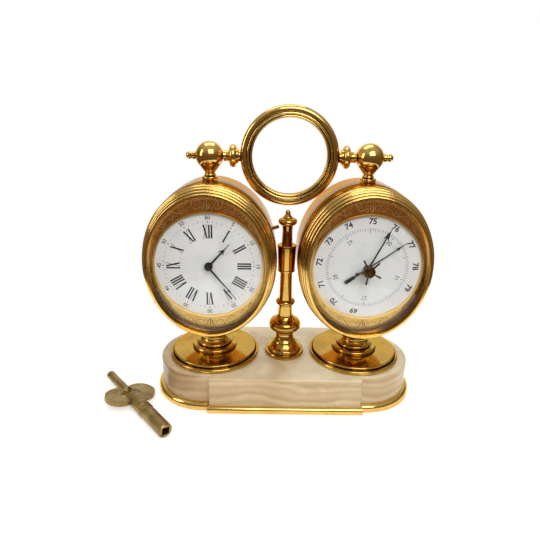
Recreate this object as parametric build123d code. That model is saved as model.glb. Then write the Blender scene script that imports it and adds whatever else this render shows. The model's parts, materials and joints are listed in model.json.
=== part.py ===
from build123d import *
import math
import os

os.makedirs("parts", exist_ok=True)

# Overall arrangement: X to the right, Y to the back, Z up, base underside at Z = 0
drum_x = 40.3
drum_z = 78.9
ring_z = 132.0

# Plinth: brass moulding below, onyx block above
lobe_x = 44.0
moulding_r = 29.4
moulding_h = 4.0
rail_half = 41.7
rail_depth = 32.5
pocket_h = 2.2
pocket_r = 8.0
onyx_r = 26.8
onyx_top = 20.3
onyx_half = 40.7
onyx_depth = 30.5

# Drums, with depths counted from the drum middle towards the viewer
case_a = 34.4
case_b = 40.3
case_wall = 2.8
case_back = -17.0
case_front = 10.4
band_step = 0.5
band_back = -3.5
neck_a = 32.6
neck_b = 38.7
flange_back = 14.8
neck_front = 16.25
dial_bore = 28.9

# Bezel, glass, mask and dial
sight_a = 30.3
sight_b = 36.5
bezel_steps = [11.2, 14.9, 17.9, 20.3, 22.2]
bezel_grow = [4.4, 3.6, 2.6, 1.5]
glass_lap = 0.7
glass_back = 19.3
glass_front = 21.3
bevel_wide = 2.3
bevel_deep = 0.9
fit = 0.1
seat_gap = 0.03
mask_h = 0.8
dial_r = 28.6
dial_h = 0.8
dial_sight_r = 27.4
sight_ring_w = 0.8
sight_ring_h = 0.45

# Movement plates and going train
plate_front = 11.6
plate_h = 1.5
plate_gap = 16.5
plate_a = 30.5
plate_b = 34.5
back_plate_r = 26.0
running = 0.05
barrel_teeth = 84
centre_leaves = 12
barrel_module = 0.30
centre_teeth = 75
third_leaves = 10
centre_module = 0.24
third_teeth = 80
fourth_leaves = 10
third_module = 0.22
cannon_leaves = 12
minute_teeth = 36
minute_leaves = 10
hour_teeth = 40
motion_module = 0.30
train_arbor_r = 0.6
cannon_r = 1.25
hour_pipe_r = 1.7
centre_arbor_r = 0.9
winding_arbor_r = 1.5

# Hands
minute_len = 22.3
minute_turn = 141.0
hour_len = 15.9
hour_turn = 41.75
weather_len = 23.2
weather_tail = 13.6
weather_turn = 53.5
set_len = 24.3
set_turn = 25.4
minute_hub_r = 1.9
hour_hub_r = 2.15
knob_r = 3.0
knob_reach = 6.5
hour_level = neck_front + 0.95
minute_level = hour_level + 1.0
weather_level = neck_front + 0.85
set_level = glass_back - 0.95

# Carrying ring and its supports
ring_out = 24.9
ring_in = 18.8
ball_r = 7.1
spindle_r = 1.6
tip_end = 52.25

# Pedestals, column and fixings
flange_r = 25.4
flange_h = 4.6
foot_h = 12.7
shaft_h = 37.7
collar_h = 14.9
finial_h = 19.0
column_bore = 1.6
rod_r = 2.5
column_rod_r = 1.5

# Winding key
key_x = -85.4
key_y = -21.6
key_turn = -48.7
key_tilt = 10.0
key_big_r = 3.8
key_small_r = 2.4
key_big_end = 39.0
key_small_end = 26.0


def rod(radius, low, high):
    return Pos(0, 0, low) * Cylinder(radius, high - low, align=(Align.CENTER, Align.CENTER, Align.MIN))


def tube(outer, inner, low, high):
    return rod(outer, low, high) - rod(inner, low - 1, high + 1)


def oval(a, b, low, high):
    return Pos(0, 0, low) * extrude(Ellipse(a, b), high - low)


def reed(a, b, low, high, rounding):
    plain = oval(a, b, low, high)
    return fillet(plain.edges().filter_by(GeomType.ELLIPSE), rounding)


def turned(points):
    # Points are (radius, height); two further numbers give a point the arc passes through
    edges = []
    here = points[0]
    for point in points[1:]:
        start = (here[0], 0, here[1])
        end = (point[0], 0, point[1])
        if len(point) == 4:
            edges.append(ThreePointArc(start, (point[2], 0, point[3]), end))
        else:
            edges.append(Line(start, end))
        here = point
    first = points[0]
    if math.hypot(here[0] - first[0], here[1] - first[1]) > 0.001:
        edges.append(Line((here[0], 0, here[1]), (first[0], 0, first[1])))
    return revolve(make_face(edges), Axis.Z)


def polar(radius, angle):
    return (radius * math.cos(angle), radius * math.sin(angle))


def plate(points, low, high):
    return Pos(0, 0, low) * extrude(make_face(Polyline(*points, close=True)), high - low)


def toothed(teeth, module, tooth_at, low, high, span=None):
    # Involute flanks with short tips and running backlash, one tooth centred on the given angle
    pitch_r = teeth * module / 2
    base_r = pitch_r * math.cos(math.radians(20))
    radii = [pitch_r - 1.15 * module, pitch_r, pitch_r + 0.8 * module]
    half = 0.8 * math.pi / (2 * teeth)

    def flank(radius):
        if radius <= base_r:
            return 0
        lean = math.acos(base_r / radius)
        return math.tan(lean) - lean

    points = []
    numbers = range(teeth) if span is None else range(-span, span + 1)
    for number in numbers:
        middle = math.radians(tooth_at) + 2 * math.pi * number / teeth
        sides = [(r, half + flank(pitch_r) - flank(r)) for r in radii]
        points += [polar(r, middle - s) for r, s in sides]
        points += [polar(r, middle + s) for r, s in reversed(sides)]
    if span is not None:
        points += [polar(radii[0] - 2.2, middle), polar(radii[0] - 2.2, 2 * math.radians(tooth_at) - middle)]
    return plate(points, low, high)


def seat(x, shape):
    return Pos(x, 0, drum_z) * Rot(90, 0, 0) * shape


def at(place, shape):
    return Pos(place[0], place[1], 0) * shape


def save(shape, node):
    export_step(shape, f"parts/{node}.step")


# Brass plinth moulding with its break-front rails
def plinth_moulding():
    ends = extrude(SlotCenterToCenter(2 * lobe_x, 2 * moulding_r), moulding_h)
    ends = fillet(ends.edges().group_by(Axis.Z)[-1], 2.4)
    rail = Pos(0, 0, moulding_h / 2) * Box(2 * rail_half, 2 * rail_depth, moulding_h)
    long_edges = rail.edges().filter_by(Axis.X).group_by(Axis.Z)
    rail = fillet(long_edges[-1], 2.2)
    rail = fillet(rail.edges().filter_by(Axis.X).group_by(Axis.Z)[0], 1.2)
    body = ends + rail
    for x in (-drum_x, drum_x):
        body -= Pos(x, 0, 0) * rod(rod_r + 0.1, 0, moulding_h + 1)
        body -= Pos(x, 0, 0) * rod(pocket_r, -1, pocket_h)
    return body


def onyx_block():
    height = onyx_top - moulding_h
    ends = Pos(0, 0, moulding_h) * extrude(SlotCenterToCenter(2 * lobe_x, 2 * onyx_r), height)
    ends = fillet(ends.edges().group_by(Axis.Z)[-1], 0.9)
    middle = Pos(0, 0, moulding_h + height / 2) * Box(2 * onyx_half, 2 * onyx_depth, height)
    middle = fillet(middle.edges().group_by(Axis.Z)[-1] + middle.edges().filter_by(Axis.Z), 0.9)
    body = ends + middle
    for x in (-drum_x, drum_x):
        body -= Pos(x, 0, 0) * rod(rod_r + 0.1, 0, onyx_top + 1)
    body -= rod(pocket_r - 2.5, 0, moulding_h + 3.0)
    return body - rod(column_rod_r + 0.1, 0, onyx_top + 1)


save(plinth_moulding(), "base_moulding")
save(onyx_block(), "onyx_block")


# Room kept free for a drum in what stands on it or under it
def drum_room():
    a = case_a + seat_gap
    b = case_b + seat_gap
    band = oval(a + band_step, b + band_step, band_back - seat_gap, neck_front)
    return oval(a, b, case_back, band_back) + band


def drum_case(x, hinge):
    body = oval(case_a, case_b, case_back, case_front) + oval(neck_a, neck_b, case_front, neck_front)
    body += reed(case_a + band_step, case_b + band_step, band_back, case_front, 0.45)
    body -= oval(case_a - case_wall, case_b - case_wall, case_back - 1, flange_back)
    body -= rod(dial_bore, flange_back - 1, neck_front + 1)
    if hinge:
        for low in (2.7, -5.7):
            knuckle = Pos(hinge_u, low + 1.5, hinge_d) * Rot(90, 0, 0) * Cylinder(1.2, 3.0)
            leaf = Pos((hinge_u - case_a + 0.8) / 2, low + 1.5, hinge_d + 0.7)
            leaf = leaf * Box(abs(hinge_u) - case_a + 0.8, 3.0, 1.0)
            body += knuckle + leaf
        body -= Pos(hinge_u, 0, hinge_d) * Rot(90, 0, 0) * Cylinder(0.65, 30)
    body = seat(x, body)
    body -= Pos(x, 0, drum_z) * rod(1.55, 0, case_b + 2)
    return body - Pos(x, 0, drum_z) * rod(rod_r + 0.1, -case_b - 2, 0)


hinge_u = -case_a - 1.8
hinge_d = case_back


def pedestal_flange(x):
    rim = flange_r
    profile = [(rod_r + 0.1, 0), (rim - 0.5, 0), (rim, 0.6, rim - 0.15, 0.15), (rim, 1.2),
               (rim - 0.9, 2.3, rim - 0.25, 2.0), (rim - 1.5, 2.1), (rim - 1.9, 1.7), (rim - 2.1, 2.3),
               (rim - 2.0, 3.0), (rim - 2.7, 3.7, rim - 2.2, 3.5), (12.0, flange_h), (rod_r + 0.1, flange_h)]
    return Pos(x, 0, onyx_top) * turned(profile)


def pedestal_neck(x):
    low = onyx_top + flange_h
    cup = drum_z - case_b
    waist = (low + 4.5 + cup - 4.2) / 2
    profile = [(rod_r + 0.1, low), (11.9, low), (11.9, low + 2.1, 12.9, low + 1.05), (9.4, low + 2.4),
               (9.2, low + 4.2, 10.1, low + 3.3), (8.4, low + 4.5), (9.3, cup - 4.2, 7.1, waist),
               (10.6, cup - 3.6), (10.9, cup - 2.2, 11.0, cup - 3.0), (10.9, cup + 3.4),
               (rod_r + 0.1, cup + 3.4)]
    return Pos(x, 0, 0) * turned(profile) - seat(x, drum_room())


for x, name in ((-drum_x, "clock"), (drum_x, "barometer")):
    save(pedestal_flange(x), f"{name}_pedestal_flange")
    save(pedestal_neck(x), f"{name}_pedestal_neck")
    save(drum_case(x, name == "clock"), f"{name}_case")


# Turned column between the drums
foot_top = onyx_top + foot_h
shaft_top = foot_top + shaft_h
collar_top = shaft_top + collar_h
bore_top = collar_top + 9.4
knop = finial_h - 1.4
foot = [(column_bore, 0), (10.9, 0), (10.9, 2.3, 11.25, 1.1), (9.7, 2.6), (9.7, 3.2), (9.1, 4.8, 9.75, 4.2),
        (6.3, 8.3, 7.5, 6.3), (4.6, foot_h, 5.0, foot_h - 2.2), (column_bore, foot_h)]
shaft = [(column_bore, 0), (5.1, 0), (5.1, 1.4, 5.5, 0.7), (6.9, 2.2), (7.6, 8.2, 9.0, 5.5),
         (4.2, 11.6, 5.2, 9.8), (3.75, 17.6), (3.75, 17.8), (4.5, 18.0), (4.5, 20.6, 5.4, 19.3),
         (3.6, 20.9), (3.35, 29.0), (3.3, shaft_h), (column_bore, shaft_h)]
collar = [(column_bore, 0), (4.7, 0), (4.75, 0.9), (4.6, 1.3), (5.0, collar_h - 1.6), (5.15, collar_h - 1.2),
          (5.15, collar_h - 0.4), (4.8, collar_h), (column_bore, collar_h)]
finial = [(0, 9.4), (column_bore, 9.4), (column_bore, 0), (2.9, 0), (2.6, 8.1), (2.9, 10.6), (4.1, 11.4),
          (4.1, 14.4, 4.95, 12.9), (2.2, 15.6, 2.9, 14.8), (1.2, knop - math.sqrt(1.4 ** 2 - 1.2 ** 2)),
          (0, finial_h, 1.4, knop)]
save(Pos(0, 0, onyx_top) * turned(foot), "column_foot")
save(Pos(0, 0, foot_top) * turned(shaft), "column_shaft")
save(Pos(0, 0, shaft_top) * turned(collar), "column_collar")
save(Pos(0, 0, collar_top) * turned(finial), "column_finial")


# Rods that clamp drums and column to the plinth, and the nuts under it
rod_low = 0.6
head_low = drum_z - case_b + case_wall + 0.35
nut_h = 1.6
drum_rod = rod(rod_r, rod_low, head_low + 0.5) + rod(4.0, head_low, head_low + 2.0)
nut = extrude(RegularPolygon(4.4, 6), nut_h)
rods = [Pos(x, 0, 0) * drum_rod for x in (-drum_x, drum_x)]
rods += [rod(column_rod_r, moulding_h + 0.4, bore_top - 0.4)]
nuts = [Pos(x, 0, pocket_h - nut_h) * (nut - rod(rod_r + 0.05, -1, 3)) for x in (-drum_x, drum_x)]
nuts += [Pos(0, 0, moulding_h + 3.0 - nut_h) * (nut - rod(column_rod_r + 0.05, -1, 3))]
save(Compound(children=rods), "tie_rods")
save(Compound(children=nuts), "tie_nuts")


# Reeded bezel, bevelled glass, pierced mask and dial of either drum
def drum_bezel():
    body = oval(sight_a + bezel_grow[3] - 0.9, sight_b + bezel_grow[3] - 0.9, bezel_steps[0], bezel_steps[4])
    for number, grow in enumerate(bezel_grow):
        low = bezel_steps[number]
        high = bezel_steps[number + 1]
        body += reed(sight_a + grow, sight_b + grow, low, high, 0.42 * (high - low))
        if number < 3:
            inner = bezel_grow[number + 1] - 0.5
            body += oval(sight_a + inner, sight_b + inner, low + 0.6, high + 0.6)
    body -= oval(neck_a + fit, neck_b + fit, bezel_steps[0] - 1, neck_front)
    lap_top = glass_front - bevel_deep * (1 - glass_lap / bevel_wide) + 0.05
    body -= oval(sight_a + glass_lap + fit, sight_b + glass_lap + fit, neck_front - 0.1, lap_top)
    return body - oval(sight_a, sight_b, neck_front, bezel_steps[4] + 1)


def drum_glass(hole):
    rim = glass_front - bevel_deep
    a = sight_a + glass_lap
    b = sight_b + glass_lap
    body = oval(a, b, glass_back, rim)
    low = Pos(0, 0, rim) * Ellipse(a, b)
    high = Pos(0, 0, glass_front) * Ellipse(a - bevel_wide, b - bevel_wide)
    body += loft([low, high], ruled=True)
    if hole:
        body -= rod(hole, glass_back - 1, glass_front + 1)
    return body


def drum_mask():
    a = sight_a + glass_lap
    b = sight_b + glass_lap
    body = oval(a, b, neck_front, glass_back - 0.05)
    body -= oval(a - 0.8, b - 0.8, neck_front + mask_h, glass_back)
    body += tube(dial_sight_r + sight_ring_w, dial_sight_r, neck_front, neck_front + mask_h + sight_ring_h)
    return body - rod(dial_sight_r, neck_front - 1, glass_back)


dial_back = neck_front - dial_h
dial_holes = {"clock": hour_pipe_r + 0.3, "barometer": 1.6}
for x, name, glass_hole in ((-drum_x, "clock", 0), (drum_x, "barometer", 1.28)):
    save(seat(x, drum_bezel()), f"{name}_bezel")
    save(seat(x, drum_glass(glass_hole)), f"{name}_glass")
    save(seat(x, drum_mask()), f"{name}_mask")
    save(seat(x, tube(dial_r, dial_holes[name], dial_back, neck_front)), f"{name}_dial")


# Ball finials bored across for the ring spindles
def ball_finial(x):
    neck_r = 2.45
    crown = drum_z + case_b
    neck_z = crown + 4.5
    gap = math.hypot(neck_r, ring_z - neck_z)
    lean = math.atan2(ring_z - neck_z, -neck_r) - math.asin(ball_r / gap)
    run = math.sqrt(gap ** 2 - ball_r ** 2)
    touch = (neck_r + run * math.cos(lean), neck_z + run * math.sin(lean))
    profile = [(0, crown - 2.2), (4.2, crown - 2.2), (4.2, crown + 1.9), (3.6, crown + 2.6, 4.1, crown + 2.4),
               (2.5, crown + 2.8), (2.5, crown + 4.0, 3.0, crown + 3.4), (neck_r, neck_z), touch,
               (0, ring_z + ball_r, ball_r, ring_z)]
    body = Pos(x, 0, 0) * turned(profile) - seat(x, drum_room())
    body += Pos(x, 0, 0) * rod(1.5, crown - case_wall - 2.0, crown + 2.8)
    return body - Pos(x, 0, ring_z) * Rot(0, 90, 0) * Cylinder(spindle_r + running, 4 * ball_r)


save(ball_finial(-drum_x), "clock_ball_finial")
save(ball_finial(drum_x), "barometer_ball_finial")


# Reeded carrying ring with a turned spindle at each side
def carrying_ring():
    groove = ring_in + 2.9
    step = ring_in + 1.4
    profile = [(ring_in + 0.1, -1.4), (ring_in + 0.1, 1.4, ring_in, 0), (step, 1.7, step - 0.7, 2.25),
               (groove, 2.0, step + 0.7, 2.75), (groove, -2.0, ring_out, 0), (step, -1.7, step + 0.7, -2.75),
               (ring_in + 0.1, -1.4, step - 0.7, -2.25)]
    return Pos(0, 0, ring_z) * Rot(90, 0, 0) * turned(profile)


def ring_spindle(turn):
    near = drum_x - math.sqrt(ball_r ** 2 - spindle_r ** 2) - 0.3
    far = drum_x + math.sqrt(ball_r ** 2 - spindle_r ** 2) + 0.25
    root = ring_out - 1.3
    profile = [(0, root), (2.8, root), (2.8, root + 2.0), (3.7, root + 2.4), (3.7, root + 3.1),
               (3.7, root + 6.6, 5.7, root + 4.9), (2.8, root + 7.2), (2.6, root + 8.4), (2.8, near),
               (spindle_r, near), (spindle_r, far), (1.95, far),
               (1.95, far + 1.2), (1.5, far + 1.5), (1.5, far + 2.2), (1.9, far + 2.6), (1.9, tip_end - 1.9),
               (0, tip_end, 1.9 * math.sqrt(0.5), tip_end - 1.9 * (1 - math.sqrt(0.5)))]
    body = Pos(0, 0, ring_z) * Rot(0, turn, 0) * turned(profile)
    return body - Pos(0, 0, ring_z) * Rot(90, 0, 0) * rod(ring_out, -4, 4)


save(carrying_ring(), "ring_handle")
save(ring_spindle(-90), "ring_spindle_left")
save(ring_spindle(90), "ring_spindle_right")


# Places of the arbors, as seen from the front, counted from the drum middle
barrel_at = (0.0, -(barrel_teeth + centre_leaves) * barrel_module / 2)
third_run = (centre_teeth + third_leaves) * centre_module / 2
third_at = polar(third_run, math.radians(135))
fourth_run = (third_teeth + fourth_leaves) * third_module / 2
fourth_at = (third_at[0] + fourth_run * math.cos(math.radians(28)),
             third_at[1] + fourth_run * math.sin(math.radians(28)))
motion_run = (cannon_leaves + minute_teeth) * motion_module / 2
hour_module = 2 * motion_run / (minute_leaves + hour_teeth)
minute_at = polar(motion_run, math.radians(-150))
escape_at = (fourth_at[0] + 7.5, fourth_at[1] + 2.9)
lever_at = (escape_at[0] - 0.4, escape_at[1] + 7.0)
balance_at = (-1.5, 19.5)
click_at = (barrel_at[0] - 7.6, barrel_at[1] - 6.5)
plate_back = plate_front - plate_h
back_front = plate_back - plate_gap
back_back = back_front - plate_h
pillar_places = [(19.0, 15.0), (19.0, -15.0), (-19.0, 15.0), (-19.0, -15.0)]
post_places = [(14.5, 27.5), (14.5, -27.5), (-14.5, 27.5), (-14.5, -27.5)]
pivot_places = [third_at, fourth_at, escape_at, lever_at]


# Frame of the clock movement
front_plate = oval(plate_a, plate_b, plate_back, plate_front)
front_plate -= rod(centre_arbor_r + running, 0, 20)
front_plate -= at(barrel_at, rod(winding_arbor_r + running, 0, 20))
front_plate += at(minute_at, rod(0.7, plate_front - 0.1, dial_back - 0.3))
back_plate = rod(back_plate_r, back_back, back_front)
back_plate -= rod(centre_arbor_r + running, -20, 0)
back_plate -= at(barrel_at, rod(winding_arbor_r + running, -20, 0))
back_plate -= at(balance_at, rod(2.0, -20, 0))
front_plate -= at(balance_at, rod(0.55, 0, 20))
for place in pivot_places:
    front_plate -= at(place, rod(train_arbor_r + running, 0, 20))
    back_plate -= at(place, rod(train_arbor_r + running, -20, 0))
back_plate += at(click_at, rod(0.9, back_back - 1.7, back_back + 0.1))
pillars = [at(place, rod(1.8, back_front, plate_back)) for place in pillar_places]
pillars += [at(place, rod(1.5, plate_front, flange_back)) for place in post_places]
cock_at = (balance_at[0] - 10.2, balance_at[1] + 0.6)
cock_low = back_back - 5.4
cock = at(cock_at, rod(2.4, cock_low, back_back))
cock_middle = ((cock_at[0] + balance_at[0]) / 2, (cock_at[1] + balance_at[1]) / 2)
cock += at(cock_middle, Pos(0, 0, cock_low + 0.6) * Box(10.2, 3.2, 1.2))
cock += at(balance_at, rod(2.2, cock_low, cock_low + 1.2))
cock -= at(balance_at, rod(0.55, cock_low - 1, back_back))
save(seat(-drum_x, front_plate), "movement_front_plate")
save(seat(-drum_x, back_plate), "movement_back_plate")
save(Compound(children=[seat(-drum_x, p) for p in pillars]), "movement_pillars")
save(seat(-drum_x, cock), "balance_cock")


# Wheels: barrel, centre, third and fourth, each meshing with the next
def wheel(teeth, module, tooth_at, low, high, bore):
    # Spoked blank: a rim, a hub and five arms
    pitch_r = teeth * module / 2
    body = toothed(teeth, module, tooth_at, low, high)
    rim_r = pitch_r - 1.15 * module - 1.1
    hub_r = bore + 1.1
    if rim_r > hub_r + 1.5:
        window = tube(rim_r, hub_r, low - 1, high + 1)
        for number in range(5):
            arm = Pos(rim_r / 2, 0, (low + high) / 2) * Box(rim_r + 2, 1.1, high - low + 4)
            window -= Rot(0, 0, 72 * number) * arm
        body -= window
    return body - rod(bore, low - 1, high + 1)


wheel_low = -1.9
barrel = rod(11.6, wheel_low + 1.4, 9.6)
barrel += toothed(barrel_teeth, barrel_module, 90, wheel_low, wheel_low + 1.5)
barrel -= rod(winding_arbor_r + running, -20, 20)
save(seat(-drum_x, at(barrel_at, barrel)), "mainspring_barrel")

set_square = 2.0
centre = rod(centre_arbor_r, back_back - 0.4, dial_back + 2.2)
centre += Pos(0, 0, back_back - 2.6) * Box(set_square, set_square, 4.6)
centre += toothed(centre_leaves, barrel_module, -90 + 180 / centre_leaves, wheel_low - 0.5, wheel_low + 2.0)
centre += wheel(centre_teeth, centre_module, 135, -4.6, -3.6, centre_arbor_r - 0.1)
save(seat(-drum_x, centre), "centre_arbor")

cannon = rod(cannon_r, plate_front + 0.3, minute_level + 0.7)
cannon += toothed(cannon_leaves, motion_module, -150, plate_front + 0.3, plate_front + 1.8)
cannon -= rod(centre_arbor_r, plate_front - 1, dial_back + 2.2)
save(seat(-drum_x, cannon), "cannon_pinion")

third = rod(train_arbor_r, back_back + 0.4, plate_front - 0.4)
third += toothed(third_leaves, centre_module, 315 + 180 / third_leaves, -5.0, -3.2)
third += wheel(third_teeth, third_module, 28, 3.0, 4.0, train_arbor_r - 0.1)
save(seat(-drum_x, at(third_at, third)), "third_wheel")

fourth = rod(train_arbor_r, back_back + 0.4, plate_front - 0.4)
fourth += toothed(fourth_leaves, third_module, 208 + 180 / fourth_leaves, 2.6, 4.4)
fourth += wheel(60, third_module, 0, 7.0, 8.0, train_arbor_r - 0.1)
save(seat(-drum_x, at(fourth_at, fourth)), "fourth_wheel")

motion_low = plate_front + 0.5
minute_wheel = toothed(minute_teeth, motion_module, 30 + 180 / minute_teeth, motion_low, motion_low + 1.1)
leaf_at = 30 + 180 / minute_leaves
minute_wheel += toothed(minute_leaves, hour_module, leaf_at, motion_low + 1.0, dial_back - 0.35)
minute_wheel -= rod(0.7 + running, 0, 20)
save(seat(-drum_x, at(minute_at, minute_wheel)), "minute_wheel")

hour_low = motion_low + 1.6
hour_wheel = toothed(hour_teeth, hour_module, 210, hour_low, hour_low + 1.0)
hour_wheel += rod(hour_pipe_r, hour_low, hour_level + 0.55)
hour_wheel -= rod(cannon_r + 0.06, 0, 30)
save(seat(-drum_x, hour_wheel), "hour_wheel")


# Escapement: escape wheel, pallet lever, balance with hairspring
escape_points = []
for number in range(15):
    turn = 2 * math.pi * number / 15
    escape_points += [polar(3.3, turn), polar(4.5, turn + 0.30)]
    escape_points += [polar(4.5, turn + 0.33), polar(3.3, turn + 0.26)]
escape = plate(escape_points, -2.0, -1.2) + rod(0.5, back_back + 0.4, plate_front - 0.4)
escape += toothed(8, third_module, 0, 6.6, 8.4)
save(seat(-drum_x, at(escape_at, escape)), "escape_wheel")

lever = rod(0.5, back_back + 0.4, plate_front - 0.4) + rod(1.3, -2.0, -1.2)
for side in (-1, 1):
    lever += plate([(0, 0.8), (0, -0.8), (side * 3.4, -2.4), (side * 4.2, -3.6), (side * 4.9, -3.3),
                    (side * 4.2, -1.4)], -2.0, -1.2)
reach = math.hypot(balance_at[0] - lever_at[0], balance_at[1] - lever_at[1]) - 1.4
fork_turn = math.degrees(math.atan2(balance_at[1] - lever_at[1], balance_at[0] - lever_at[0]))
lever += Rot(0, 0, fork_turn) * Pos(reach / 2, 0, -1.6) * Box(reach, 0.9, 0.8)
save(seat(-drum_x, at(lever_at, lever)), "pallet_lever")

balance_low = back_back - 2.7
balance = tube(7.0, 6.1, balance_low, balance_low + 0.9)
balance += Pos(0, 0, balance_low + 0.45) * Box(12.8, 1.0, 0.9)
balance += rod(0.5, cock_low + 0.3, plate_front - 0.4)
balance += rod(1.0, balance_low - 0.4, balance_low + 1.6)
save(seat(-drum_x, at(balance_at, balance)), "balance_wheel")

spiral_in = []
spiral_out = []
for number in range(61):
    turn = 2 * math.pi * number / 12
    radius = 1.02 + 3.4 * number / 60
    spiral_in.append(polar(radius, turn))
    spiral_out.append(polar(radius + 0.14, turn))
hairspring = make_face([Spline(*spiral_in), Spline(*spiral_out), Line(spiral_in[0], spiral_out[0]),
                        Line(spiral_in[-1], spiral_out[-1])])
hairspring = Pos(0, 0, balance_low - 0.45) * extrude(hairspring, 0.35)
save(seat(-drum_x, at(balance_at, hairspring)), "hairspring")


# Winding arbor with its ratchet wheel, and the click
saw = []
for number in range(24):
    turn = 2 * math.pi * number / 24
    saw += [polar(4.6, turn), polar(5.4, turn + math.radians(14.6))]
winding_square = 3.4
square_end = back_back - 6.8
winding = rod(winding_arbor_r, back_back - 2.2, plate_front - 0.2)
winding += plate(saw, back_back - 1.7, back_back - 0.3)
winding += Pos(0, 0, (square_end + back_back - 2.0) / 2) * Box(
    winding_square, winding_square, back_back - 2.0 - square_end)
save(seat(-drum_x, at(barrel_at, winding)), "winding_arbor")

click = plate([(2.5, 6.4), (1.0, 6.35), (-1.3, 1.0), (-1.5, -0.6), (0, -1.6), (1.5, -0.6), (1.4, 1.2)],
              back_back - 1.7, back_back - 0.3)
click -= rod(0.95, -20, 0)
save(seat(-drum_x, at(click_at, click)), "click")


# Rear door of the clock drum, with holes for winding and for setting the hands
door_front = case_back - 0.15
door_h = 1.45
door = oval(case_a, case_b, door_front - door_h, door_front)
door = fillet(door.edges().filter_by(GeomType.ELLIPSE).group_by(Axis.Z)[0], 0.8)
lip_a = case_a - case_wall - 0.3
lip_b = case_b - case_wall - 0.3
door += oval(lip_a, lip_b, door_front - 0.1, door_front + 1.5) - oval(lip_a - 1, lip_b - 1, -30, 0)
door += Pos(hinge_u, 0, hinge_d) * Rot(90, 0, 0) * Cylinder(1.2, 4.8)
door += Pos((hinge_u - case_a + 1.2) / 2, 0, hinge_d - 0.7) * Box(abs(hinge_u) - case_a + 1.2, 4.8, 1.0)
door -= Pos(hinge_u, 0, hinge_d) * Rot(90, 0, 0) * Cylinder(0.65, 30)
thumb_turn = 18.3
thumb_reach = case_a + 3.7
thumb = Pos(thumb_reach - 2.5, 0, door_front - door_h / 2) * Box(5.0, 1.8, door_h - 0.2)
door += Rot(0, 0, thumb_turn) * thumb
door -= at(barrel_at, rod(key_big_r + 0.6, -30, 0))
door -= rod(key_small_r + 0.6, -30, 0)
save(seat(-drum_x, door), "clock_rear_door")
pin = Pos(hinge_u, 0, hinge_d) * Rot(90, 0, 0) * Cylinder(0.6, 12.4)
save(seat(-drum_x, pin), "door_hinge_pin")


# Hands of the clock and of the barometer
def arrow_hand(length, root_w, stem_w, barb_at, barb_w, sweep, head_end, tip_w):
    right = [(root_w, 0), (stem_w, barb_at + sweep), (barb_w, barb_at)]
    right += [(tip_w, head_end), (tip_w * 0.6, length)]
    left = [(-u, w) for u, w in reversed(right)]
    return right + left


minute_hand = plate(arrow_hand(minute_len, 0.55, 0.24, 0.70 * minute_len, 0.85, 0.7, 0.80 * minute_len, 0.16),
                    minute_level, minute_level + 0.4)
minute_hand += rod(minute_hub_r, minute_level, minute_level + 0.5)
minute_hand -= rod(cannon_r, 0, 30)
save(seat(-drum_x, Rot(0, 0, -minute_turn) * minute_hand), "minute_hand")
hour_hand = plate(arrow_hand(hour_len, 0.6, 0.36, 0.585 * hour_len, 1.7, 1.2, 0.76 * hour_len, 0.2),
                  hour_level, hour_level + 0.4)
hour_hand += rod(hour_hub_r, hour_level, hour_level + 0.4)
hour_hand -= rod(hour_pipe_r, 0, 30)
save(seat(-drum_x, Rot(0, 0, -hour_turn) * hour_hand), "hour_hand")

weather_outline = arrow_hand(weather_len, 0.34, 0.2, 0.74 * weather_len, 0.9, 0.6, 0.86 * weather_len, 0.13)
weather_hand = plate(weather_outline, weather_level, weather_level + 0.35)
weather_hand += rod(2.0, weather_level, weather_level + 0.45)
weather_hand += plate([(-0.4, 0), (0.4, 0), (0.45, -7.6), (0.85, -8.2), (1.0, 1.0 - weather_tail),
                       (0.8, -weather_tail), (-0.8, -weather_tail), (-1.0, 1.0 - weather_tail),
                       (-0.85, -8.2), (-0.45, -7.6)], weather_level, weather_level + 0.35)
weather_hand -= rod(centre_arbor_r, 0, 30)
save(seat(drum_x, Rot(0, 0, -weather_turn) * weather_hand), "barometer_hand")

stem_r = 1.2
set_hand = plate(arrow_hand(set_len, 0.42, 0.27, 0.72 * set_len, 1.4, 1.0, 0.91 * set_len, 0.16),
                 set_level, set_level + 0.35)
set_hand += rod(2.1, set_level, set_level + 0.4)
set_hand -= rod(stem_r, 0, 30)
save(seat(drum_x, Rot(0, 0, -set_turn) * set_hand), "set_hand")

knob_low = glass_front + 0.3
knob = rod(stem_r, set_level, knob_low + 0.5) + turned(
    [(0, knob_low), (knob_r, knob_low), (knob_r, knob_low + 1.7),
     (knob_r - 0.7, knob_low + 2.5, knob_r - 0.2, knob_low + 2.3), (knob_r - 1.4, knob_low + 2.5),
     (knob_r - 1.4, knob_low + 2.9), (0, knob_low + 2.9)])
for number in range(5):
    arm = rod(0.46, knob_r - 0.8, knob_reach) + Pos(0, 0, knob_reach) * Sphere(0.52)
    knob += Rot(0, 0, 117 - 72 * number) * Pos(0, 0, knob_low + 1.1) * Rot(0, 90, 0) * arm
save(seat(drum_x, knob), "set_knob")


# Barometer movement: bridge plate, base plate, capsule, spring, toothed sector and pointer arbor
sector_teeth = 108
pinion_leaves = 12
sector_module = 0.30
sector_at = (0.0, -(sector_teeth + pinion_leaves) * sector_module / 2)
bridge = oval(plate_a, plate_b, plate_back, plate_front)
for place in post_places:
    bridge += at(place, rod(1.5, plate_front - 0.1, flange_back))
bridge -= rod(centre_arbor_r + running, 0, 20)
bridge -= at(sector_at, rod(0.8 + running, 0, 20))
save(seat(drum_x, bridge), "barometer_front_plate")

base_low = case_back + 2.5
base_high = base_low + 1.5
screw_at = (0.0, -22.0)
base = rod(28.0, base_low, base_high)
for place in ((23.0, 13.0), (23.0, -13.0), (-23.0, 13.0), (-23.0, -13.0)):
    base += at(place, rod(1.8, base_high - 0.1, plate_back))
base -= rod(1.5, base_low - 1, base_high + 1)
base -= at(screw_at, rod(1.55, base_low - 1, base_high + 1))
save(seat(drum_x, base), "barometer_base_plate")

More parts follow.
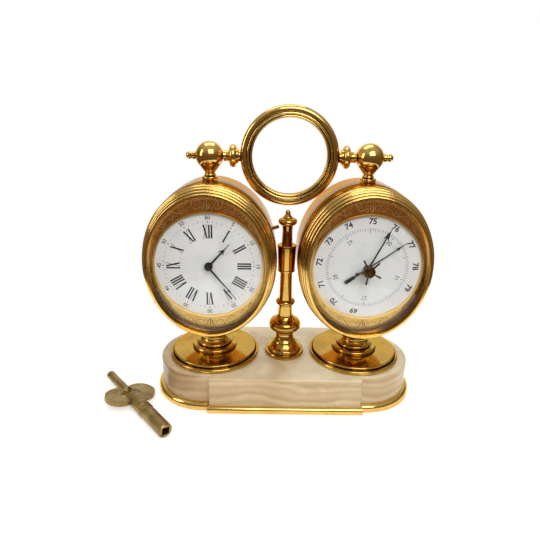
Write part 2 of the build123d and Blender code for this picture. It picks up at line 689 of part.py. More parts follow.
spring_under = base_high + 11.75
under = base_high + 1.2
over = under + 5.6
capsule = [(0, base_low + 0.2), (1.45, base_low + 0.2), (1.45, base_high), (3.5, base_high), (3.5, under)]
capsule += [(5.0, under)]
for radius in (5.0, 8.0, 11.0, 14.0):
    capsule += [(radius + 3.0, under, radius + 1.5, under - 0.9)]
capsule += [(19.0, under + 2.0), (19.0, over - 2.0), (17.0, over)]
for radius in (17.0, 14.0, 11.0, 8.0):
    capsule += [(radius - 3.0, over, radius - 1.5, over + 0.9)]
capsule += [(3.5, over), (3.5, over + 1.7), (2.0, over + 2.2), (2.0, spring_under), (0, spring_under)]
save(seat(drum_x, turned(capsule)), "aneroid_capsule")

spring_top = base_high + 13.4
spring_side = [(26.0, base_high), (26.0, spring_top - 2.9), (24.0, spring_top - 1.0), (-9.0, spring_top),
               (-9.0, spring_top - 1.2), (23.0, spring_top - 2.3), (24.6, spring_top - 3.6),
               (24.6, base_high)]
spring_face = make_face(Polyline(*[(0, w, d) for w, d in spring_side], close=True))
spring = Pos(-5.5, 0, 0) * extrude(spring_face, 11.0, dir=(1, 0, 0))
save(seat(drum_x, spring), "capsule_spring")

sector_low = plate_back - 2.3
sector = toothed(sector_teeth, sector_module, 90, sector_low, sector_low + 0.8, span=8)
sector += Pos(0, 6.9, sector_low + 0.4) * Box(1.6, 13.8, 0.8)
sector += rod(0.8, sector_low - 2.3, plate_front - 0.3) + rod(2.0, sector_low - 0.4, sector_low + 1.0)
sector += Pos(0, -3.0, sector_low + 0.4) * Box(2.4, 6.0, 0.8)
save(seat(drum_x, at(sector_at, sector)), "sector_lever")

pointer = rod(centre_arbor_r, sector_low - 1.8, weather_level + 0.6)
pinion_at = -90 + 180 / pinion_leaves
pointer += toothed(pinion_leaves, sector_module, pinion_at, sector_low - 0.4, sector_low + 1.2)
save(seat(drum_x, pointer), "pointer_arbor")

screw = rod(1.5, base_low - 0.3, base_high + 2.5) + rod(2.3, base_low - 2.0, base_low - 0.3)
screw -= Pos(0, 0, base_low - 2.0) * Box(6, 0.6, 1.4)
save(seat(drum_x, at(screw_at, screw)), "adjusting_screw")

cover = oval(case_a, case_b, case_back - door_h, case_back)
cover = fillet(cover.edges().filter_by(GeomType.ELLIPSE).group_by(Axis.Z)[0], 0.8)
cover += oval(lip_a, lip_b, case_back - 0.1, case_back + 1.5) - oval(lip_a - 1, lip_b - 1, -30, 0)
cover -= at(screw_at, rod(2.8, -30, 0))
save(seat(drum_x, cover), "barometer_rear_cover")


# Double-ended winding key lying on its bow and big tube
def winding_key():
    bow = Cylinder(8.2, 2.2)
    bow = Pos(0, 5.8, 0) * bow + Pos(0, -5.8, 0) * bow
    slot = extrude(SlotCenterToCenter(6.6, 4.6), 4)
    bow -= Rot(0, 0, 90) * Pos(0, 0, -2) * slot
    big = [(0, 1.6), (2.4, 1.9), (key_big_r, 3.6, 3.4, 2.5), (key_big_r, 15.2)]
    big += [(key_big_r - 0.35, 15.2)]
    for low in (15.2, 16.8, 18.4):
        big += [(key_big_r - 0.35, low + 1.6, key_big_r + 0.25, low + 0.8)]
    big += [(key_big_r, 20.0), (key_big_r, key_big_end - 0.5)]
    big += [(key_big_r - 0.5, key_big_end), (0, key_big_end)]
    big = turned(big) - Pos(0, 0, key_big_end - 5) * Box(4.0, 4.0, 12.0)
    small = turned([(0, 2.4), (1.6, 2.4), (2.2, 3.0), (2.9, 4.4, 2.8, 3.6), (2.3, 5.6), (key_small_r, 7.0),
                    (key_small_r, key_small_end - 0.4), (key_small_r - 0.4, key_small_end),
                    (0, key_small_end)])
    small -= Pos(0, 0, key_small_end - 4) * Box(2.4, 2.4, 10.0)
    return bow + Rot(0, 90, 0) * big + Rot(0, -90, 0) * small


key = Rot(0, 0, key_turn) * Rot(-key_tilt, 0, 0) * winding_key()
key = Pos(key_x, key_y, -key.bounding_box().min.Z) * key
save(key, "winding_key")
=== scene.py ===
import json
import math

import bpy
from mathutils import Matrix, Vector


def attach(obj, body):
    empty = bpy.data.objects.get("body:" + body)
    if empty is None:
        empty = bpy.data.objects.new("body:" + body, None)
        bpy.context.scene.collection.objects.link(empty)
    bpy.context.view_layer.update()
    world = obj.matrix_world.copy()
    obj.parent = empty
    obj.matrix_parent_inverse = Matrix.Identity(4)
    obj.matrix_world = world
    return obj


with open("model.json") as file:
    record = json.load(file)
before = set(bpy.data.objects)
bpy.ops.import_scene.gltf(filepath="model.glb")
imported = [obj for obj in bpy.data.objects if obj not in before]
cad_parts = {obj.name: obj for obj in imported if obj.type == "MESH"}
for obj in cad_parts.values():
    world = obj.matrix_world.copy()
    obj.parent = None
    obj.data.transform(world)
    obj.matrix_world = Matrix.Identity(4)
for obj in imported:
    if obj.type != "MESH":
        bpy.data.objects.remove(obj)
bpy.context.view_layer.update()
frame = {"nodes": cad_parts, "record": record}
nodes = frame["nodes"]

# Places and sizes in millimetres, as in the CAD frame
DRUM_X = 40.3
DRUM_Z = 78.9
CLOCK = -DRUM_X
BAROMETER = DRUM_X
CASE_BAND_FRONT = -11.2
CASE_BAND_BACK = 3.6
RING_Z = 132.0
RING_INNER = 18.8
RING_OUTER = 24.9
DIAL_FRONT = 16.25
MASK_FRONT = 17.05
MASK_HALF_WIDE = 29.8
MASK_HALF_HIGH = 36.0
SIGHT_RING = 28.25
SCROLL_INNER = 28.4
LEAF_INNER = 28.6
PRINT_LIFT = 0.02
CUT_LIFT = 0.03


# Nodes that the materials and the world are made of
def feed(tree, node, inputs):
    # Each input gets a plain value or a link from the output of another node
    for name, value in inputs.items():
        if isinstance(value, bpy.types.NodeSocket):
            tree.links.new(value, node.inputs[name])
        else:
            node.inputs[name].default_value = value


def add(tree, kind, inputs, **settings):
    # Settings come first, since they decide which inputs a node has
    node = tree.nodes.new(kind)
    for name, value in settings.items():
        setattr(node, name, value)
    feed(tree, node, inputs)
    return node


def object_place(tree):
    return add(tree, "ShaderNodeTexCoord", {}).outputs["Object"]


def object_noise(tree, scale, detail=4.0, stretch=(1, 1, 1), distortion=0.0):
    place = add(tree, "ShaderNodeMapping", {"Vector": object_place(tree), "Scale": stretch})
    inputs = {"Vector": place.outputs["Vector"], "Scale": scale, "Detail": detail, "Distortion": distortion}
    return add(tree, "ShaderNodeTexNoise", inputs).outputs["Fac"]


def ramp(tree, source, stops, blend="LINEAR"):
    node = add(tree, "ShaderNodeValToRGB", {"Fac": source})
    band = node.color_ramp
    band.interpolation = blend
    while len(band.elements) < len(stops):
        band.elements.new(0.5)
    for element, (place, colour) in zip(band.elements, stops):
        element.position = place
        element.color = (*colour, 1.0)
    return node.outputs["Color"]


def share(tree, source, low, high, blend="LINEAR"):
    # 0 up to the low value, 1 from the high value on
    inputs = {"Value": source, "From Min": low, "From Max": high}
    return add(tree, "ShaderNodeMapRange", inputs, interpolation_type=blend).outputs["Result"]


def span(tree, noise, low, high):
    # Spreads the middle of a noise, 0.3 to 0.7, over a range
    inputs = {"Value": noise, "From Min": 0.3, "From Max": 0.7, "To Min": low, "To Max": high}
    return add(tree, "ShaderNodeMapRange", inputs).outputs["Result"]


def axis(tree, source, letter):
    return add(tree, "ShaderNodeSeparateXYZ", {"Vector": source}).outputs[letter]


def vector(tree, operation, *values):
    node = add(tree, "ShaderNodeVectorMath", dict(enumerate(values)), operation=operation)
    return node.outputs["Value" if operation in ("LENGTH", "DISTANCE") else "Vector"]


def number(tree, operation, first, second):
    return add(tree, "ShaderNodeMath", {0: first, 1: second}, operation=operation).outputs["Value"]


def mixed(tree, factor, first, second, blend="MIX"):
    inputs = {"Factor": factor, "A": first, "B": second}
    return add(tree, "ShaderNodeMix", inputs, data_type="RGBA", blend_type=blend).outputs["Result"]


def mixed_shader(tree, factor, first, second):
    return add(tree, "ShaderNodeMixShader", {"Fac": factor, 1: first, 2: second}).outputs["Shader"]


def bump(tree, shader, source, strength, distance):
    node = add(tree, "ShaderNodeBump", {"Height": source, "Strength": strength, "Distance": distance})
    feed(tree, shader, {"Normal": node.outputs["Normal"]})


def multiplied(tree, shader, factor):
    source = shader.inputs["Base Color"].links[0].from_socket
    feed(tree, shader, {"Base Color": mixed(tree, 1.0, source, factor, "MULTIPLY")})


def new_material(name):
    material = bpy.data.materials.new(name)
    material.use_nodes = True
    tree = material.node_tree
    return material, tree, tree.nodes["Principled BSDF"]


# Metals
CLEAR = (1, 1, 1)
GOLD_EDGE = (1.0, 0.82, 0.54)
GRAIN_DEPTH = 0.0002
GILT_TONES = [(0.25, (0.66, 0.41, 0.10)), (0.5, (0.77, 0.50, 0.145)), (0.75, (0.83, 0.57, 0.19))]
SHADED_GILT_TONES = [(0.25, (0.40, 0.22, 0.04)), (0.5, (0.56, 0.345, 0.08)), (0.75, (0.64, 0.42, 0.12))]
LIT_RING_TONES = [(0.25, (0.76, 0.48, 0.13)), (0.5, (0.86, 0.58, 0.18)), (0.75, (0.90, 0.64, 0.24))]
MASK_TONES = [(0.3, (0.58, 0.32, 0.08)), (0.7, (0.74, 0.45, 0.13))]
ENGRAVED_TONES = [(0.3, (0.46, 0.30, 0.11)), (0.7, (0.62, 0.43, 0.18))]
SHADED_ENGRAVED_TONES = [(0.3, (0.17, 0.10, 0.03)), (0.7, (0.27, 0.17, 0.05))]
AGED_TONES = [(0.2, (0.17, 0.11, 0.037)), (0.5, (0.32, 0.22, 0.08)), (0.8, (0.44, 0.32, 0.13))]
BRASS_TONES = [(0.3, (0.62, 0.44, 0.17)), (0.7, (0.78, 0.58, 0.25))]
KNOB_TONES = [(0.3, (0.045, 0.027, 0.011)), (0.7, (0.15, 0.09, 0.03))]
STEEL_TONES = [(0.3, (0.42, 0.43, 0.45)), (0.7, (0.62, 0.63, 0.65))]


def age_spots(tree, shader):
    # Small dull spots, a little redder than the metal
    level = 0.58
    dull = (level, level * 0.9, level * 0.8)
    spots = object_noise(tree, 420.0, detail=7.0, distortion=0.4)
    multiplied(tree, shader, ramp(tree, spots, [(0.29, dull), (0.37, CLEAR)]))


def tarnish(tree, shader):
    # Painted shade with tarnish in the grooves between reeds and under mouldings, darker where other surfaces
    # are near
    reach = 0.0016
    near = add(tree, "ShaderNodeAmbientOcclusion", {"Distance": reach}, samples=8, only_local=True)
    multiplied(tree, shader, ramp(tree, near.outputs["AO"], [(0.40, (0.16, 0.09, 0.04)), (0.78, CLEAR)]))


def metal(name, tones, rough, grain, scale=90.0, bumps=0.0, edge=CLEAR, spots_and_groove_shade=False):
    material, tree, shader = new_material(name)
    feed(tree, shader, {"Base Color": ramp(tree, object_noise(tree, scale, detail=5.0), tones)})
    # Age spots, then painted shade with tarnish in the grooves
    if spots_and_groove_shade:
        age_spots(tree, shader)
        tarnish(tree, shader)
    fine = object_noise(tree, grain, detail=6.0)
    feed(tree, shader, {"Metallic": 1.0, "Specular Tint": (*edge, 1), "Roughness": span(tree, fine, *rough)})
    if bumps:
        bump(tree, shader, fine, bumps, GRAIN_DEPTH)
    return material


def polished(name, tones, rough):
    return metal(name, tones, rough, grain=500.0, scale=70.0, edge=GOLD_EDGE, spots_and_groove_shade=True)


gilt = polished("gilt", GILT_TONES, (0.11, 0.16))
# A darker, browner copy of the gilt with painted shade, for columns and pedestals
shaded_gilt = polished("shaded_gilt", SHADED_GILT_TONES, (0.10, 0.15))
# A paler copy of the gilt with painted light, for the carrying ring
lit_ring_gilt = polished("lit_ring_gilt", LIT_RING_TONES, (0.12, 0.17))
mask_gilt = metal("mask_gilt", MASK_TONES, rough=(0.16, 0.24), grain=900.0, scale=120.0)
engraved = metal("engraved", ENGRAVED_TONES, rough=(0.55, 0.70), grain=1500.0, scale=200.0)
# A darker copy of the engraving with painted shade, for the lower scrolls
shaded_engraved = metal("shaded_engraved", SHADED_ENGRAVED_TONES, rough=(0.50, 0.65), grain=1500.0, scale=200.0)
aged = metal("aged_brass", AGED_TONES, rough=(0.32, 0.58), grain=700.0, scale=160.0, bumps=0.12)
brass = metal("plain_brass", BRASS_TONES, rough=(0.22, 0.34), grain=800.0)
knob_brass = metal("knob_brass", KNOB_TONES, rough=(0.20, 0.34), grain=800.0, scale=200.0)
steel = metal("steel", STEEL_TONES, rough=(0.22, 0.36), grain=900.0)


def case_band():
    # The front of a case is a polished band, slightly rounded across; painted shade darkens its front edge
    # and makes a dark groove line that parts it from a paler wall
    material = polished("case_gilt", GILT_TONES, (0.11, 0.17))
    tree = material.node_tree
    shader = tree.nodes["Principled BSDF"]
    depth = axis(tree, object_place(tree), "Y")
    across = share(tree, depth, CASE_BAND_FRONT / 1000, CASE_BAND_BACK / 1000)
    levels = ((0.0, 0.0), (0.2, 0.75), (0.45, 1.0), (0.8, 0.75), (1.0, 0.0))
    rise = ramp(tree, across, [(place, (level, level, level)) for place, level in levels], "B_SPLINE")
    # The dark stops are painted shade, and the tone also tints the reflections
    painted_shade = (0.10, 0.06, 0.02)
    tone_with_painted_light = ramp(tree, across, [(0.0, painted_shade), (0.10, (0.56, 0.36, 0.12)), (0.42, (0.66, 0.44, 0.16)),
                               (0.50, painted_shade), (0.62, (0.78, 0.60, 0.42)), (1.0, (0.86, 0.68, 0.50))])
    feed(tree, shader, {"Specular Tint": tone_with_painted_light})
    multiplied(tree, shader, tone_with_painted_light)
    bump(tree, shader, rise, 1.0, 0.0026)
    return material


def reed_lines():
    # Painted shade along the grooves of the carrying ring, dark lines with softer shade at its edges, by
    # distance from its middle
    tree = lit_ring_gilt.node_tree
    middle = nodes["ring_handle"].matrix_world.inverted() @ Vector((0, 0, RING_Z / 1000))
    flat = vector(tree, "MULTIPLY", vector(tree, "SUBTRACT", object_place(tree), middle), (1, 0, 1))
    across = share(tree, vector(tree, "LENGTH", flat), RING_INNER / 1000, RING_OUTER / 1000)
    painted_shade = (0.16, 0.09, 0.03)
    soft_shade = (0.50, 0.38, 0.22)
    stops = [(0.0, soft_shade), (0.07, CLEAR), (0.17, CLEAR), (0.21, painted_shade), (0.25, painted_shade), (0.29, CLEAR),
             (0.42, CLEAR), (0.455, painted_shade), (0.495, painted_shade), (0.53, CLEAR), (0.68, CLEAR), (0.72, soft_shade),
             (0.76, CLEAR), (0.90, CLEAR), (1.0, soft_shade)]
    multiplied(tree, tree.nodes["Principled BSDF"], ramp(tree, across, stops))


def copper_above():
    # The mask plates are painted redder above the dials and darker and yellower below, a painted reflection
    # that changes with height
    reach = 30
    tree = mask_gilt.node_tree
    height = axis(tree, object_place(tree), "Z")
    level = share(tree, height, (DRUM_Z - reach) / 1000, (DRUM_Z + reach) / 1000)
    tone_with_painted_light = ramp(tree, level, [(0.0, (0.80, 0.84, 0.66)), (0.5, (1.0, 0.98, 0.9)), (1.0, (1.45, 0.98, 0.70))])
    multiplied(tree, tree.nodes["Principled BSDF"], tone_with_painted_light)


def bright_sight_ring():
    # The raised ring around either dial is painted pale gold, partly its own polish and partly a painted
    # reflection of the glass bevel; the plate behind it is darker
    tree = mask_gilt.node_tree
    shader = tree.nodes["Principled BSDF"]
    folded = vector(tree, "ABSOLUTE", object_place(tree))
    flat = vector(tree, "MULTIPLY", folded, (1, 0, 1))
    away = vector(tree, "DISTANCE", flat, (DRUM_X / 1000, 0, DRUM_Z / 1000))
    inside = number(tree, "LESS_THAN", away, SIGHT_RING / 1000)
    for socket, bright in (("Base Color", (0.86, 0.60, 0.22, 1.0)), ("Roughness", (0.32, 0.32, 0.32, 1.0))):
        plate = shader.inputs[socket].links[0].from_socket
        feed(tree, shader, {socket: mixed(tree, inside, plate, bright)})


case_gilt = case_band()
reed_lines()
copper_above()
bright_sight_ring()


# Other materials
def black_steel():
    material, tree, shader = new_material("black_steel")
    cloud = object_noise(tree, 250.0)
    colour = ramp(tree, cloud, [(0.3, (0.008, 0.008, 0.010)), (0.7, (0.022, 0.022, 0.028))])
    feed(tree, shader, {"Base Color": colour, "Metallic": 0.3, "Roughness": span(tree, cloud, 0.32, 0.48)})
    return material


def print_black():
    material, tree, shader = new_material("print_black")
    cloud = object_noise(tree, 600.0)
    colour = ramp(tree, cloud, [(0.3, (0.010, 0.010, 0.012)), (0.7, (0.035, 0.035, 0.040))])
    feed(tree, shader, {"Base Color": colour, "Roughness": 0.5, "Specular IOR Level": 0.2})
    return material


def enamel():
    material, tree, shader = new_material("enamel")
    cloud = object_noise(tree, 70.0, detail=3.0)
    colour = ramp(tree, cloud, [(0.3, (0.71, 0.72, 0.72)), (0.7, (0.77, 0.78, 0.78))])
    feed(tree, shader, {"Base Color": colour, "Roughness": span(tree, cloud, 0.25, 0.33)})
    return material


def strata(tree, place, scale, distortion, detail_scale, profile):
    # Layers across the height of the stone
    inputs = {"Vector": place, "Scale": scale, "Distortion": distortion, "Detail": 4.0,
              "Detail Scale": detail_scale}
    settings = {"wave_type": "BANDS", "bands_direction": "Z", "wave_profile": profile}
    return add(tree, "ShaderNodeTexWave", inputs, **settings).outputs["Fac"]


def onyx():
    material, tree, shader = new_material("onyx")
    drift = object_noise(tree, 16.0, detail=5.0, stretch=(1.0, 1.0, 1.6)).node.outputs["Color"]
    drift_reach = (0.014, 0.014, 0.018)
    place = vector(tree, "MULTIPLY_ADD", drift, drift_reach, object_place(tree))
    # Broad strata under a cloudy veil
    broad = strata(tree, place, scale=36.0, distortion=2.4, detail_scale=0.7, profile="SAW")
    bands = ramp(tree, broad,
                 [(0.0, (0.60, 0.43, 0.23)), (0.25, (0.67, 0.50, 0.27)), (0.6, (0.75, 0.59, 0.36)),
                  (0.85, (0.85, 0.73, 0.51)), (1.0, (0.66, 0.48, 0.26))])
    cloud = object_noise(tree, 38.0, detail=6.0)
    veil = ramp(tree, cloud, [(0.3, (0.58, 0.40, 0.21)), (0.7, (0.84, 0.71, 0.50))])
    feed(tree, shader, {"Base Color": mixed(tree, 0.62, bands, veil)})
    # Fine strata between the broad ones
    fine = strata(tree, place, scale=70.0, distortion=4.5, detail_scale=0.6, profile="SIN")
    line = ramp(tree, fine,
                [(0.0, (0.92, 0.89, 0.84)), (0.35, (0.985, 0.975, 0.95)), (1.0, (1.05, 1.05, 1.04))])
    multiplied(tree, shader, line)
    # The stone darkens to brown at its left end
    brown_end = -0.072
    pale_from = -0.030
    along = share(tree, axis(tree, place, "X"), brown_end, pale_from)
    end = ramp(tree, along,
               [(0.0, (0.50, 0.40, 0.32)), (0.5, (0.76, 0.66, 0.55)), (1.0, (0.985, 0.955, 0.875))])
    multiplied(tree, shader, end)
    # The top of the block is painted paler than its sides, painted light on the faces that look up
    facing = add(tree, "ShaderNodeNewGeometry", {}).outputs["Normal"]
    painted_top_light = ramp(tree, axis(tree, facing, "Z"), [(0.55, CLEAR), (0.95, (1.32, 1.52, 1.90))])
    multiplied(tree, shader, painted_top_light)
    feed(tree, shader, {"Subsurface Weight": 0.25, "Subsurface Scale": 0.004,
                        "Subsurface Radius": (1.0, 0.7, 0.45), "Roughness": span(tree, cloud, 0.16, 0.30)})
    return material


def clear_glass():
    material, tree, shader = new_material("glass")
    tint = ramp(tree, object_noise(tree, 40.0), [(0.0, (0.965, 0.975, 0.97)), (1.0, (0.99, 0.99, 0.985))])
    feed(tree, shader, {"Base Color": tint, "Transmission Weight": 1.0, "Roughness": 0.0, "IOR": 1.32})
    # The bevel is shaded steeper than its flat slope, so it bends the view more
    slope = 2.2
    facing = add(tree, "ShaderNodeNewGeometry", {}).outputs["Normal"]
    steeper = vector(tree, "MULTIPLY", facing, (slope, 1.0, slope))
    feed(tree, shader, {"Normal": vector(tree, "NORMALIZE", steeper)})
    # Light passes the glass without a shadow
    clear = add(tree, "ShaderNodeBsdfTransparent", {}).outputs["BSDF"]
    shadow = add(tree, "ShaderNodeLightPath", {}).outputs["Is Shadow Ray"]
    surface = mixed_shader(tree, shadow, shader.outputs["BSDF"], clear)
    feed(tree, tree.nodes["Material Output"], {"Surface": surface})
    return material


black = black_steel()
ink = print_black()
white = enamel()
stone = onyx()
glass = clear_glass()

# The finish of each piece: by its name, else by its material slot in the record
finish = {
    "onyx_block": stone,
    "clock_glass": glass,
    "barometer_glass": glass,
    "clock_dial": white,
    "barometer_dial": white,
    "clock_case": case_gilt,
    "barometer_case": case_gilt,
    "clock_mask": mask_gilt,
    "barometer_mask": mask_gilt,
    "winding_key": aged,
    "set_knob": knob_brass,
    "ring_handle": lit_ring_gilt,
    "minute_hand": black,
    "hour_hand": black,
    "barometer_hand": black,
    "set_hand": black,
    "cannon_pinion": black,
}
by_slot = {"gilt_brass": gilt, "plain_brass": brass, "steel": steel, "blued_steel": black, "aged_brass": aged}
slots = {part["node"]: part["material_slot"] for part in frame["record"]["subparts"]}
for name, node in nodes.items():
    chosen = finish.get(name) or by_slot[slots[name]]
    # Columns and pedestals take the darker gilt copy, painted shade where they mirror a dark room
    if chosen is gilt and ("column" in name or "pedestal" in name):
        chosen = shaded_gilt
    node.data.materials.clear()
    node.data.materials.append(chosen)


# Flat printed and engraved work, drawn in millimetres on a drum's face
class Drawing:
    def __init__(self, drum, depth):
        self.drum = drum
        self.depth = depth
        self.verts = []
        self.faces = []

    def shape(self, points, faces):
        start = len(self.verts)
        for u, w in points:
            self.verts.append(((self.drum + u) / 1000, -self.depth / 1000, (DRUM_Z + w) / 1000))
        for face in faces:
            self.faces.append([start + corner for corner in face])

    def ribbon(self, points, widths):
        sides = []
        for step, (u, w) in enumerate(points):
            before = points[max(step - 1, 0)]
            after = points[min(step + 1, len(points) - 1)]
            run = math.hypot(after[0] - before[0], after[1] - before[1])
            across = ((before[1] - after[1]) / run, (after[0] - before[0]) / run)
            half = widths[step] / 2
            sides.append((u + across[0] * half, w + across[1] * half))
            sides.append((u - across[0] * half, w - across[1] * half))
        faces = [(2 * k, 2 * k + 1, 2 * k + 3, 2 * k + 2) for k in range(len(points) - 1)]
        self.shape(sides, faces)

    def turned(self, points, faces, radius, clock_angle):
        # Places a figure at a clock angle with its head outwards
        cosine = math.cos(math.radians(clock_angle))
        sine = math.sin(math.radians(clock_angle))
        placed = [(u * cosine + (radius + w) * sine, (radius + w) * cosine - u * sine) for u, w in points]
        self.shape(placed, faces)

    def make(self, name, material, body):
        mesh = bpy.data.meshes.new(name)
        mesh.from_pydata(self.verts, [], self.faces)
        mesh.materials.append(material)
        piece = bpy.data.objects.new(name, mesh)
        bpy.context.scene.collection.objects.link(piece)
        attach(piece, body)
        return piece


def figures(words, height, weight):
    # Points and faces of a plain number, centred
    curve = bpy.data.curves.new("figures", "FONT")
    curve.body = words
    curve.align_x = "CENTER"
    curve.align_y = "CENTER"
    curve.offset = weight
    curve.resolution_u = 3
    piece = bpy.data.objects.new("figures", curve)
    bpy.context.scene.collection.objects.link(piece)
    view = bpy.context.evaluated_depsgraph_get()
    mesh = bpy.data.meshes.new_from_object(piece.evaluated_get(view))
    low = min(v.co.y for v in mesh.vertices)
    high = max(v.co.y for v in mesh.vertices)
    size = height / (high - low)
    points = [(v.co.x * size, (v.co.y - (low + high) / 2) * size) for v in mesh.vertices]
    faces = [list(face.vertices) for face in mesh.polygons]
    bpy.data.objects.remove(piece)
    bpy.data.curves.remove(curve)
    bpy.data.meshes.remove(mesh)
    return points, faces


# Roman letters in millimetres, measured from the middle of each
STEM = 0.80
THICK = 0.84
THIN = 0.26
SERIF_HALF = 0.08
PITCHES = {"I": 1.26, "V": 2.5, "X": 2.5}
# The foot, the head and the width of each stroke
STROKES = {
    "I": [(0, 0, STEM)],
    "V": [(0, -0.85, THICK), (0.1, 0.9, THIN)],
    "X": [(0.8, -0.8, THICK), (-0.85, 0.85, THIN)],
}
# The place, the reach and the end of each serif, which is 1 at the head or -1 at the foot
SERIFS = {
    "I": [(0, 0.6, 1), (0, 0.6, -1)],
    "V": [(-0.85, 0.55, 1), (0.9, 0.4, 1)],
    "X": [(-0.8, 0.45, 1), (0.8, 0.45, 1), (-0.8, 0.45, -1), (0.8, 0.45, -1)],
}


def roman(words, height):
    # Points and faces of a Roman numeral with thin serifs, centred
    half = height / 2
    left = -sum(PITCHES[letter] for letter in words) / 2
    points = []
    for letter in words:
        middle = left + PITCHES[letter] / 2
        for foot, head, width in STROKES[letter]:
            side = width / 2
            points += [(middle + foot - side, -half), (middle + foot + side, -half),
                       (middle + head + side, half), (middle + head - side, half)]
        for place, reach, end in SERIFS[letter]:
            at = middle + place
            low = end * half - SERIF_HALF
            high = end * half + SERIF_HALF
            points += [(at - reach, low), (at + reach, low), (at + reach, high), (at - reach, high)]
        left += PITCHES[letter]
    faces = [range(first, first + 4) for first in range(0, len(points), 4)]
    return points, faces


def tick(drawing, clock_angle, inner, outer, thick):
    half = thick / 2
    corners = [(-half, inner), (half, inner), (half, outer), (-half, outer)]
    drawing.turned(corners, [range(4)], 0.0, clock_angle)


def clock_dial():
    hours = ["I", "II", "III", "IIII", "V", "VI", "VII", "VIII", "IX", "X", "XI", "XII"]
    hour_height = 6.8
    hour_radius = 18.1
    track_inner = 22.7
    long_tick = (23.5, 0.40)
    short_tick = (23.2, 0.30)
    minute_height = 2.0
    minute_radius = 25.3
    minute_weight = 0.012
    face = Drawing(CLOCK, DIAL_FRONT + PRINT_LIFT)
    for hour, words in enumerate(hours, 1):
        face.turned(*roman(words, hour_height), hour_radius, 30 * hour)
    for minute in range(60):
        outer, thick = short_tick if minute % 5 else long_tick
        tick(face, 6 * minute, track_inner, outer, thick)
    for hour in range(1, 13):
        face.turned(*figures(str(5 * hour), minute_height, minute_weight), minute_radius, 30 * hour)
    face.make("clock_figures", ink, "stand")


def barometer_dial():
    # Inches of mercury on the inner ring, centimetres on the outer; the lowest inch is at the bottom
    bottom = 180
    lowest_inch = 27
    inches = 5
    inch_turn = 360 / inches
    inch_height = 2.1
    inch_radius = 16.6
    ticks = 100
    track_outer = 21.2
    long_tick = (18.6, 0.28)
    short_tick = (19.6, 0.2)
    lowest_cm = 69
    highest_cm = 79
    cm_per_inch = 2.54
    cm_height = 3.1
    cm_radius = 24.6
    cm_weight = 0.028
    scale = Drawing(BAROMETER, DIAL_FRONT + PRINT_LIFT)
    for count in range(ticks):
        inner, thick = short_tick if count % 10 else long_tick
        tick(scale, bottom + 360 / ticks * count, inner, track_outer, thick)
    for count in range(inches):
        inch = figures(str(lowest_inch + count), inch_height, 0.0)
        scale.turned(*inch, inch_radius, bottom + inch_turn * count)
    for cm in range(lowest_cm, highest_cm + 1):
        clock_angle = bottom + inch_turn * (cm / cm_per_inch - lowest_inch)
        scale.turned(*figures(str(cm), cm_height, cm_weight), cm_radius, clock_angle)
    scale.make("barometer_figures", ink, "stand")


clock_dial()
barometer_dial()


# Scrolls engraved on the crescents of each mask; side is -1 left or 1 right, sign is -1 below or 1 above
VINE_WIDTH = 0.2
CURL_LEANS = (9, 22, 35, 46)
CURL_POINTS = 33
CURL_WIDTHS = [0.26 - 0.003 * step for step in range(CURL_POINTS)]
LEAF_TURNS = (0.5, 1.3, 2.1, 2.9)
LEAF_WIDTHS = [0.12, 0.4, 0.1]


def around(centre, reach, angle):
    return centre[0] + reach * math.cos(angle), centre[1] + reach * math.sin(angle)


def leaning(reach, lean, side, sign):
    return side * reach * math.sin(lean), sign * reach * math.cos(lean)


def crescent_middle(lean):
    # How far the middle of the crescent is from the dial's middle, and half its width there
    outer = 1 / math.hypot(math.sin(lean) / MASK_HALF_WIDE, math.cos(lean) / MASK_HALF_HIGH)
    return (outer + SCROLL_INNER) / 2, (outer - SCROLL_INNER) / 2


def vine(drawing, side, sign):
    # A wavy stem along one half of a crescent
    first_lean = 3
    sweep = 51
    steps = 48
    wave_steps = 24
    swing = 0.62
    points = []
    for step in range(steps + 1):
        lean = math.radians(first_lean + sweep * step / steps)
        reach, half = crescent_middle(lean)
        reach += swing * half * math.sin(2 * math.pi * step / wave_steps)
        points.append(leaning(reach, lean, side, sign))
    drawing.ribbon(points, [VINE_WIDTH] * len(points))


def spiral(centre, radius, start, hand):
    turns = 1.4
    closing = 0.82
    points = []
    for step in range(CURL_POINTS):
        part = step / (CURL_POINTS - 1)
        angle = start + hand * 2 * math.pi * turns * part
        points.append(around(centre, radius * (1 - closing * part), angle))
    return points


def curl(drawing, lean, side, sign, odd):
    # A spiral with leaves on its back, where they stay on the plate
    reach, half = crescent_middle(lean)
    radius = 0.66 * half
    centre = leaning(reach, lean, side, sign)
    hand = side * sign * (1 if odd else -1)
    start = math.atan2(sign, side * 1.6) + (math.pi if odd else 0)
    drawing.ribbon(spiral(centre, radius, start, hand), CURL_WIDTHS)
    for leaf in LEAF_TURNS:
        angle = start - hand * leaf
        near = around(centre, radius * 0.9, angle)
        bend = around(centre, radius * 1.3, angle - hand * 0.15)
        tip = around(centre, radius * 1.5, angle - hand * 0.5)
        on_plate = math.hypot(tip[0] / MASK_HALF_WIDE, tip[1] / MASK_HALF_HIGH) < 1
        if on_plate and math.hypot(*tip) > LEAF_INNER:
            drawing.ribbon([near, bend, tip], LEAF_WIDTHS)


def crescent(drawing, sign):
    for side in (-1, 1):
        vine(drawing, side, sign)
        for count, lean in enumerate(CURL_LEANS):
            curl(drawing, math.radians(lean), side, sign, count % 2 == 1)
    # Three leaves in the middle
    drawing.ribbon([(0, sign * 29.0), (0.15, sign * 31.0), (0, sign * 34.8)], [0.15, 0.7, 0.1])
    for side in (-1, 1):
        leaf = [(side * 0.3, sign * 29.2), (side * 1.3, sign * 31.0), (side * 1.2, sign * 33.2)]
        drawing.ribbon(leaf, [0.12, 0.5, 0.1])


